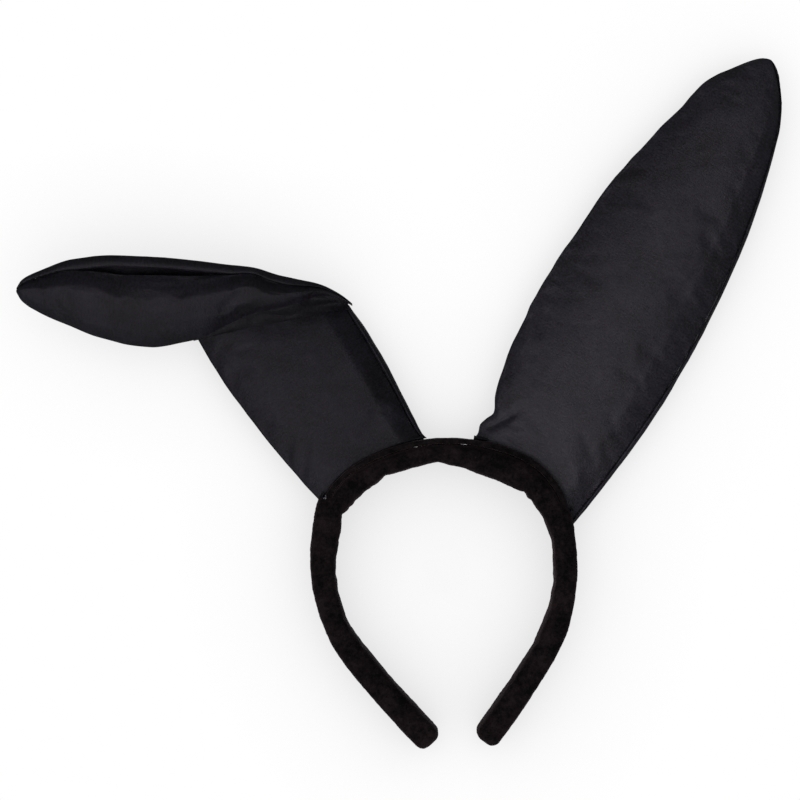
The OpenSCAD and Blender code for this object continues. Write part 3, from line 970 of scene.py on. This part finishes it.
def make_straight_wire():
    """One wire up the right side, round the tip and down the left side."""
    inset = 3.4
    turn = np.linspace(0, math.pi, 40)[1:-1]
    s = ROUND_FROM + (EAR_LEN - ROUND_FROM - inset - 1) * np.sin(turn)
    arc = EAR_HALF - SIDE_R + np.sqrt(SIDE_R ** 2 - (s - WIDEST_AT) ** 2)
    over = RIGHT.place(np.cos(turn) * (arc - inset), s, 0 * s)
    up = edge_line(RIGHT, 1, inset, 30, ROUND_FROM)
    ease = smooth(np.linspace(1, 0, 60), 0, 0.25)
    down = edge_line(RIGHT, -1, inset + 4.5 * ease, 30, ROUND_FROM)[::-1]
    wire = tube("right_ear_wire", np.concatenate([up, over, down]), WIRE_R, 8)
    skin_bend(wire)
    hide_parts("right_base_wire", "right_tip_wire")
    return dress(wire, STEEL)


right_bend_place = make_straight_ear()
make_padding("right_wadding_base", RIGHT, 29.0, 80.0, "ear_right_base", "right_base_wadding")
make_padding("right_wadding_tip", RIGHT, 110.0, 232.0, "ear_right_tip", "right_tip_wadding")
make_straight_wire()


# ---------------------------------------------------------------- the folded ear, below its fold

CORNER_AT = 76.0
OUTER_AT = 123.0


def lower_ear_grid():
    """The left ear from the ribbon up to its slanting fold, which the leaf hides."""
    t = np.linspace(0, 1, 84) ** 0.97
    half = half_width(t * 106.0) * LEFT.share
    full = fullness(t * 106.0) * np.sqrt(np.maximum(0.02, 1 - t ** 9))
    lip = curve(t, ((0, 1.2), (0.15, 2.6), (0.8, 3.2), (1, 2.0)))
    valley = 1.5 * smooth(t, 0, 0.3) * (1 - 0.6 * smooth(t, 0.9, 1)) + 0.1
    u, y = ear_section(half, lip, full, valley, 0.3 + 0 * t)
    share = np.clip(u / half[:, None], -1, 1)
    across = np.linspace(-33, 33, 25)
    foot = np.interp(u, across, band_edge(LEFT, across))
    top = OUTER_AT + (CORNER_AT - OUTER_AT) * (share + 1) / 2 - 0.7 * np.clip(share, 0, 1) ** 9
    top = top - 6.0 * np.clip(-share, 0, 1) ** 5
    s = foot + (top - foot) * t[:, None]
    u = share * (half_width(np.maximum(s, 0)) * LEFT.share - 0.8 * smooth(t, 0.8, 1)[:, None])
    u = u + np.clip(share, 0, 1) * (1.7 - 3.0 * t + 1.1 * np.exp(-t / 0.05))[:, None]
    grid = LEFT.place(u, s, y)
    free = (smooth(t, 0.04, 0.16) * (1 - smooth(t, 0.86, 0.97)))[:, None] * sewn_ring()
    grid = grid + settled("lower_ear_cloth", grid, free, 0.0018, 2.0, 3.0)
    normals = grid_normals(grid)
    hold = (smooth(t, 0, 0.12) * (1 - 0.7 * smooth(t, 0.93, 1)))[:, None]
    lift = ripples(grid, 140, 0.32, 0.09) + seam_puckers(s, np.abs(share), 9, 0.3)
    grid = grid + normals * (lift * hold)[:, :, None]
    return grid, cloth_map(u, s, y)


def make_lower_ear():
    grid, cloth = lower_ear_grid()
    cover = skin("left_ear_cover", grid, cloth, cap_first=True, cap_last=True)
    skin_bend(cover)
    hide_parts("left_base_front", "left_base_back")
    # The folded ear's cover takes the satin with painted shade.
    dress(cover, SATIN_SHADED)
    rows = np.linspace(0, 1, len(grid))
    thread = tube("left_seam_thread", seam_line(grid, rows, 0.34, 0.97), 0.22, 6)
    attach(thread, "ear_left_base")
    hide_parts("left_base_seam")
    dress(thread, THREAD)
    make_padding("left_wadding_base", LEFT, 27.0, 84.0, "ear_left_base", "left_base_wadding")
    sides = [tube("left_ear_wire", edge_line(LEFT, 1, 5.6, 27, 62), WIRE_R, 8),
             tube("left_wire_outer", edge_line(LEFT, -1, 3.4, 27, 104), WIRE_R, 8)]
    wire = joined("left_ear_wire", sides)
    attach(wire, "ear_left_base")
    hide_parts("left_base_wire")
    dress(wire, STEEL)


make_lower_ear()

# ---------------------------------------------------------------- the folded ear's leaf and pleat

CORNER = hinge("left_ear_bend")[0] * FLAT
LEAF_TURN = math.radians(174.3)
LEAF_ALONG = np.array([math.cos(LEAF_TURN), 0, math.sin(LEAF_TURN)])
LEAF_UP = np.array([math.sin(LEAF_TURN), 0, -math.cos(LEAF_TURN)])
LEAF_FRONT = 15.5
# Along the leaf from the corner: its upper and lower outline, the pleat's lower edge, and the slit's
# width and the lip's width beside the leaf's seam.
LEAF_TOP = ((-1.5, -2.8), (1, -0.6), (7, 3.5), (17, 7.8), (36, 11.3), (51, 14.8), (62, 15.6), (100, 18.4),
            (119, 18.7), (141, 16.2), (158, 9.8), (167, 4.8), (170, 0.2))
LEAF_UNDER = ((-1.5, -4.2), (1, -2.0), (15, 2.0), (27, -2.0), (57, -11.8), (77, -21.6), (101, -27.2),
              (135, -20.2), (159, -10.6), (167, -5.8), (170, -0.8))
PLEAT_LINE = ((-2, -1.5), (8, -6.0), (24, -9.0), (61, -17.2), (86, -24.0))
SLIT_OPEN = ((-2, 0.25), (52, 0.3), (62, 0.9), (86, 3.2), (100, 3.9), (116, 4.2), (128, 2.4), (138, 0.8),
             (146, 0.3), (170, 0.25))
LEAF_LIP = ((-2, 1.2), (8, 1.8), (17, 2.3), (30, 4.0), (42, 4.0), (51, 2.9), (62, 4.1), (86, 5.0),
            (135, 5.6), (150, 4.2), (170, 1.5))


def on_leaf(p, v, y):
    p, v, y = (np.asarray(value, float)[..., None] for value in (p, v, y))
    return CORNER + p * LEAF_ALONG + v * LEAF_UP + y * np.array([0.0, 1.0, 0.0])


def leaf_depth(p):
    """How far in front the leaf's middle lies: it starts at the corner and comes forward."""
    return -LEAF_FRONT * smooth(p, -30, 36)


def leaf_lean(p):
    """The leaf's lower edge lies further back than its upper edge."""
    return 0.30 * smooth(p, 10, 80)


def leaf_size(p):
    top, under = curve(p, LEAF_TOP), curve(p, LEAF_UNDER)
    half = np.maximum((top - under) / 2, 0.35)
    full = 8.2 * np.sqrt(np.clip(half / 22.0, 0, 1)) * (1 - 0.25 * smooth(p, 150, 170))
    return (top + under) / 2, half, full


def leaf_grid():
    p = np.concatenate([np.linspace(0.0, 150, 112), 150 + 19.6 * np.sin(np.linspace(0, math.pi / 2, 30))[1:]])
    middle, half, full = leaf_size(p)
    lip = np.minimum(curve(p, LEAF_LIP), 0.55 * half)
    slit = np.minimum(curve(p, SLIT_OPEN), 0.3 * half)
    valley = 1.2 * smooth(p, 5, 40) * (1 - smooth(p, 150, 170)) + 0.2
    v, y = ear_section(half, lip, full, valley, slit, 0.95, 0.55, 0.85)
    edge = np.abs(v) / half[:, None]
    pp = p[:, None] + 0 * v
    depth = leaf_depth(pp) + y - v * leaf_lean(pp)
    grid = on_leaf(pp, v + middle[:, None], depth)
    free = (smooth(p, 6, 24) * (1 - smooth(p, 155, 166)))[:, None] * sewn_ring()
    grid = grid + settled("leaf_cloth", grid, free, 0.0018, 2.0, 2.5)
    normals = grid_normals(grid)
    low_side = np.clip(-v / half[:, None], 0, 1)
    line = np.stack([pp, 0 * pp, 0 * pp], -1)
    lift = ripples(grid, 180, 0.30, 0.09) + seam_puckers(pp + 60, edge, 17, 0.3)
    lift = lift + 0.45 * low_side ** 4 * lattice_noise(line, 13.0, 6)
    drag = 1 - 2 * np.abs(lattice_noise(np.stack([pp / 6, v, 0 * v], -1), 4.0, 8))
    lift = lift + 0.16 * drag * bump(pp, 60, 50) * (y < 0)
    grid = grid + normals * (lift * smooth(half, 0.5, 6.0)[:, None])[:, :, None]
    return p, grid, cloth_map(v, pp + CORNER_AT, y)


def make_leaf():
    """The folded-over part, its stitching, wadding and wire."""
    p, grid, cloth = leaf_grid()
    leaf = skin("left_ear_leaf", grid, cloth, cap_first=True, cap_last=True)
    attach(leaf, "ear_left_tip")
    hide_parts("left_tip_front", "left_tip_back")
    # The leaf takes the satin with painted shade.
    dress(leaf, SATIN_SHADED)
    thread = tube("leaf_seam_thread", seam_line(grid, p, 148.0, 168.0), 0.24, 6)
    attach(thread, "ear_left_tip")
    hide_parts("left_tip_seam")
    dress(thread, THREAD)
    t = (1 - np.cos(np.linspace(0, math.pi, 60))) / 2
    inner = 50.0 + 102.0 * t
    taper = np.sqrt(np.clip(1 - (2 * t - 1) ** 8, 0.0004, 1))
    middle, half, full = leaf_size(inner)
    v, y = padding_section(half * (0.4 + 0.6 * taper), 2 * curve(inner, LEAF_LIP) + 3, full * taper, 4.0)
    rings = inner[:, None] + 0 * v
    depth = leaf_depth(rings) + y - v * leaf_lean(rings)
    grid = on_leaf(rings, v + middle[:, None], depth)
    finish_padding("leaf_wadding", grid, "ear_left_tip", "left_tip_wadding")
    around = np.concatenate([np.linspace(42, 160, 50), np.linspace(160, 42, 50)])
    middle, half, _ = leaf_size(around)
    upper = np.where(np.arange(100) < 50, 1.0, -1.0)
    v = upper * (half - 2.6)
    path = on_leaf(around, middle + v, leaf_depth(around) - v * leaf_lean(around))
    wire = tube("leaf_wire", np.delete(path, 50, axis=0), WIRE_R, 8)
    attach(wire, "ear_left_tip")
    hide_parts("left_tip_wire")
    dress(wire, STEEL)


def make_pleat():
    """The satin doubled back under the leaf, crumpled where it fans out from the corner."""
    p = np.linspace(2.0, 80.0, 96)[:, None]
    t = np.linspace(0, 1, 30)[None]
    low = curve(p, PLEAT_LINE) - 0.6
    high = curve(p, LEAF_UNDER) + 7.0 * smooth(p, 0, 40)
    v = low + (high - low) * t
    back = -1.5 - 4.9 * smooth(p, 0, 30)
    front = leaf_depth(p) - 1.0 + 5.5 * smooth(p, 20, 80)
    y = back + (front - back) * t ** 0.8
    pp = p + 0 * t
    fan = np.arctan2(v, pp + 14) * 60
    facets = np.abs(lattice_noise(np.stack([pp / 3.0, fan, 0 * v], -1), 7.0, 77))
    creases = np.abs(lattice_noise(np.stack([pp * 0.5, v * 1.2, 0 * v], -1), 7.0, 78))
    inside = np.sin(math.pi * t) ** 0.5
    y = y - (1.6 * facets + 0.9 * creases - 0.8) * inside * smooth(p, 2, 14)
    front_face = on_leaf(pp, v, y)
    back_face = on_leaf(pp, v, y + 0.5)
    grid = np.concatenate([front_face, back_face[:, ::-1]], axis=1)
    cloth = np.concatenate([cloth_map(v, pp, y), cloth_map(v, pp, y)[:, ::-1]], axis=1)
    pleat = skin("left_ear_pleat", grid, cloth, cap_first=True, cap_last=True)
    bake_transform(pleat)
    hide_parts("left_pleat")
    # The pleat under the leaf takes the satin with deeper painted shade.
    dress(pleat, SATIN_DEEP_SHADE)


make_leaf()
make_pleat()

# ---------------------------------------------------------------- the loose tack by the left end of the strip


def make_tack():
    """A short pale thread end where the strip is tacked down."""
    turn = np.linspace(0, 2.3 * math.pi, 40)
    foot = beside(59.3, BAND_T / 2 - 1.2)
    path = np.stack([-foot[0] + 0.9 * np.cos(turn) * (1 - turn / 14), -BAND_D / 2 + 1.2 - 0.12 * turn,
                     foot[1] + 0.8 * np.sin(turn) + 0.28 * turn], axis=1)
    tack = tube("thread_end", path, 0.12, 6)
    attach(tack, "crown")
    dress(tack, LINT)


make_tack()

# ---------------------------------------------------------------- carried-over CAD nodes

# The hem takes the satin with deeper painted shade.
CARRIED_OVER = (("foam", FOAM), ("core", PLASTIC), ("stitches", THREAD), ("hem", SATIN_DEEP_SHADE))
for name, obj in frame["nodes"].items():
    for word, material in CARRIED_OVER:
        if word in name:
            dress(obj, material)
